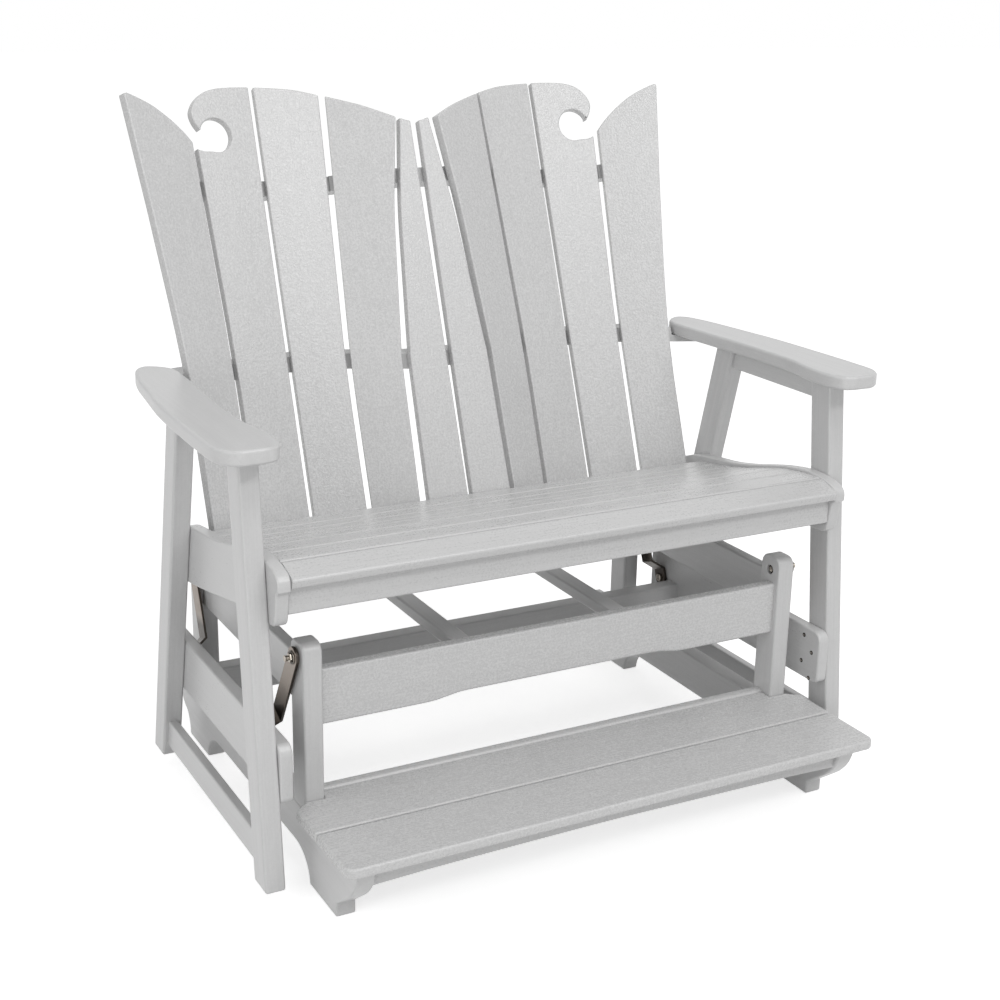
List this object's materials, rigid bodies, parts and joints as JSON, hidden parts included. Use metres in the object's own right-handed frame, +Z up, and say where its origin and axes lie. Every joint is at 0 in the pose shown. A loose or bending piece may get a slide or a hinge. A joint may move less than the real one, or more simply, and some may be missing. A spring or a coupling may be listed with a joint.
{
  "type": "double glider",
  "caption": "Two-seat patio glider: slatted bench with a fan back hung on steel swing arms from a standing base with a foot platform.",
  "frame": {"origin": "on the floor, midway across the width and midway between the foremost point of the foot platform and the rearmost point of the back", "axes": "+X across the bench towards its right end as seen from the front, +Y from the front to the back, +Z up"},
  "size_m": [1.3808, 1.0492, 1.354],
  "materials": {
    "lumber_wide": "light grey wood-grained poly lumber, fine mottled grain",
    "lumber_narrow": "light grey poly lumber, smooth with lengthwise streaks",
    "steel": "brown-grey stainless strap and bolts, satin"
  },
  "bodies": {
    "base": {"floor_rail_left": "lumber_wide", "floor_rail_right": "lumber_wide", "post_front_left": "lumber_narrow", "post_front_right": "lumber_narrow", "post_rear_left": "lumber_narrow", "post_rear_right": "lumber_narrow", "base_tie_left": "lumber_narrow", "base_tie_right": "lumber_narrow", "base_rail_front": "lumber_wide", "base_rail_rear": "lumber_wide", "cross_slat_left": "lumber_narrow", "cross_slat_right": "lumber_narrow", "plank_rear": "lumber_wide", "plank_front": "lumber_wide", "heel_board": "lumber_wide", "toe_board": "lumber_wide", "base_bolts": "steel"},
    "arm_front_left": {"arm_front_left": "steel"},
    "arm_front_right": {"arm_front_right": "steel"},
    "arm_rear_left": {"arm_rear_left": "steel"},
    "arm_rear_right": {"arm_rear_right": "steel"},
    "seat": {"leg_front_left": "lumber_narrow", "leg_front_right": "lumber_narrow", "leg_rear_left": "lumber_narrow", "leg_rear_right": "lumber_narrow", "stretcher_left": "lumber_narrow", "stretcher_right": "lumber_narrow", "under_arm_left": "lumber_narrow", "under_arm_right": "lumber_narrow", "low_rail_left": "lumber_wide", "low_rail_right": "lumber_wide", "crossbar": "lumber_narrow", "seat_bolts": "steel", "seat_side_left": "lumber_wide", "seat_side_right": "lumber_wide", "seat_apron": "lumber_wide", "seat_spine": "lumber_narrow", "seat_slat_1": "lumber_narrow", "seat_slat_2": "lumber_narrow", "seat_slat_3": "lumber_narrow", "seat_slat_4": "lumber_narrow", "seat_slat_5": "lumber_narrow", "seat_slat_6": "lumber_narrow", "seat_slat_7": "lumber_narrow", "seat_slat_8": "lumber_narrow", "armrest_left": "lumber_wide", "armrest_right": "lumber_wide", "back_shelf": "lumber_wide", "back_sill": "lumber_wide", "back_crest": "lumber_wide", "back_left_1": "lumber_wide", "back_left_2": "lumber_wide", "back_left_3": "lumber_wide", "back_left_4": "lumber_wide", "back_left_5": "lumber_wide", "back_right_1": "lumber_wide", "back_right_2": "lumber_wide", "back_right_3": "lumber_wide", "back_right_4": "lumber_wide", "back_right_5": "lumber_wide"}
  },
  "joints": [
    {"name": "swing", "type": "hinge", "parent": "base", "child": "arm_front_left", "pos_m": [-0.5403, -0.23861, 0.432], "axis": [1, 0, 0], "range_deg": [-8, 8]},
    {"name": "swing_front_right", "type": "hinge", "parent": "base", "child": "arm_front_right", "pos_m": [0.5403, -0.23861, 0.432], "axis": [1, 0, 0], "range_deg": [-8, 8]},
    {"name": "swing_rear_left", "type": "hinge", "parent": "base", "child": "arm_rear_left", "pos_m": [-0.5403, 0.33339, 0.432], "axis": [1, 0, 0], "range_deg": [-7.14, 7.14]},
    {"name": "swing_rear_right", "type": "hinge", "parent": "base", "child": "arm_rear_right", "pos_m": [0.5403, 0.33339, 0.432], "axis": [1, 0, 0], "range_deg": [-7.14, 7.14]},
    {"name": "seat_pivot", "type": "hinge", "parent": "arm_front_left", "child": "seat", "pos_m": [-0.5697, -0.13177, 0.25063], "axis": [1, 0, 0], "range_deg": [-11.6, 11.6]}
  ],
  "couplings": [
    {"joint": "swing_front_right", "follows": "swing", "ratio": 1},
    {"joint": "swing_rear_left", "follows": "swing", "ratio": 0.8915},
    {"joint": "swing_rear_right", "follows": "swing", "ratio": 0.8915},
    {"joint": "seat_pivot", "follows": "swing", "ratio": -1.4486}
  ]
}
